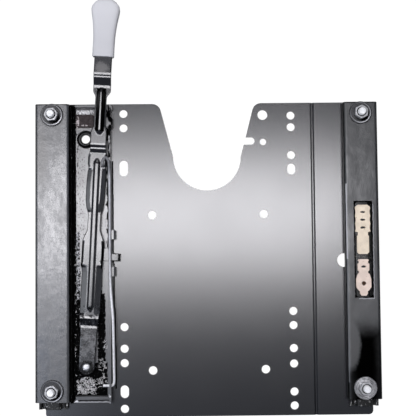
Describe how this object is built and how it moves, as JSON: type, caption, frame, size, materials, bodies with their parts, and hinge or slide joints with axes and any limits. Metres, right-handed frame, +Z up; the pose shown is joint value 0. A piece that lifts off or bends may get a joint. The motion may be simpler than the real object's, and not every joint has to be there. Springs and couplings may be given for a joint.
{
  "type": "seat isolator",
  "caption": "Fore-and-aft seat isolator: base plate with a deep front cut-out, two slide rails with seat studs, and a sprung lock lever in a tray.",
  "frame": {"origin": "under the middle of the whole part's box, on the plane of the base plate's underside", "axes": "+X to the right of the seat, +Y to the front where the lever's grip is, +Z up"},
  "size_m": [0.366, 0.446, 0.0325],
  "materials": {
    "black_coat": "glossy black coat on pressed steel",
    "satin_black": "satin black coat with a mottled sheen",
    "zinc": "bright zinc plate",
    "spring_steel": "bright drawn wire",
    "nylon": "natural nylon, lightly stained",
    "grip_plastic": "light grey moulded plastic"
  },
  "bodies": {
    "base": {"base_plate": "black_coat", "lower_rail_left": "black_coat", "lower_rail_right": "black_coat", "glide_left_front": "nylon", "glide_left_rear": "nylon", "glide_right_front": "nylon", "glide_right_rear": "nylon", "isolator_spring_left": "spring_steel", "isolator_spring_right": "spring_steel"},
    "carriage": {"upper_rail_left": "satin_black", "upper_rail_right": "satin_black", "lever_tray": "black_coat", "pivot_screw": "zinc", "pivot_washer": "black_coat", "lever_spring": "spring_steel", "stud_front_left": "zinc", "stud_rear_left": "zinc", "stud_front_right": "zinc", "stud_rear_right": "zinc", "washer_front_left": "black_coat", "washer_rear_left": "black_coat", "washer_front_right": "black_coat", "washer_rear_right": "zinc", "nut_front_left": "zinc", "nut_rear_left": "zinc", "nut_front_right": "zinc", "nut_rear_right": "zinc"},
    "lever": {"lock_lever": "black_coat", "lever_grip": "grip_plastic"}
  },
  "joints": [
    {"name": "isolator_slide", "type": "slide", "parent": "base", "child": "carriage", "axis": [0, 1, 0], "range_m": [-0.02, 0.02], "stiffness_N_per_m": 6000, "deforming": ["isolator_spring_left", "isolator_spring_right"]},
    {"name": "lever_swing", "type": "hinge", "parent": "carriage", "child": "lever", "pos_m": [-0.1295, -0.16868, 0.009], "axis": [0, 0, 1], "range_deg": [0, 4.2], "stiffness_Nm_per_rad": 1.5, "springref_deg": -2.86, "deforming": ["lever_spring"]}
  ]
}
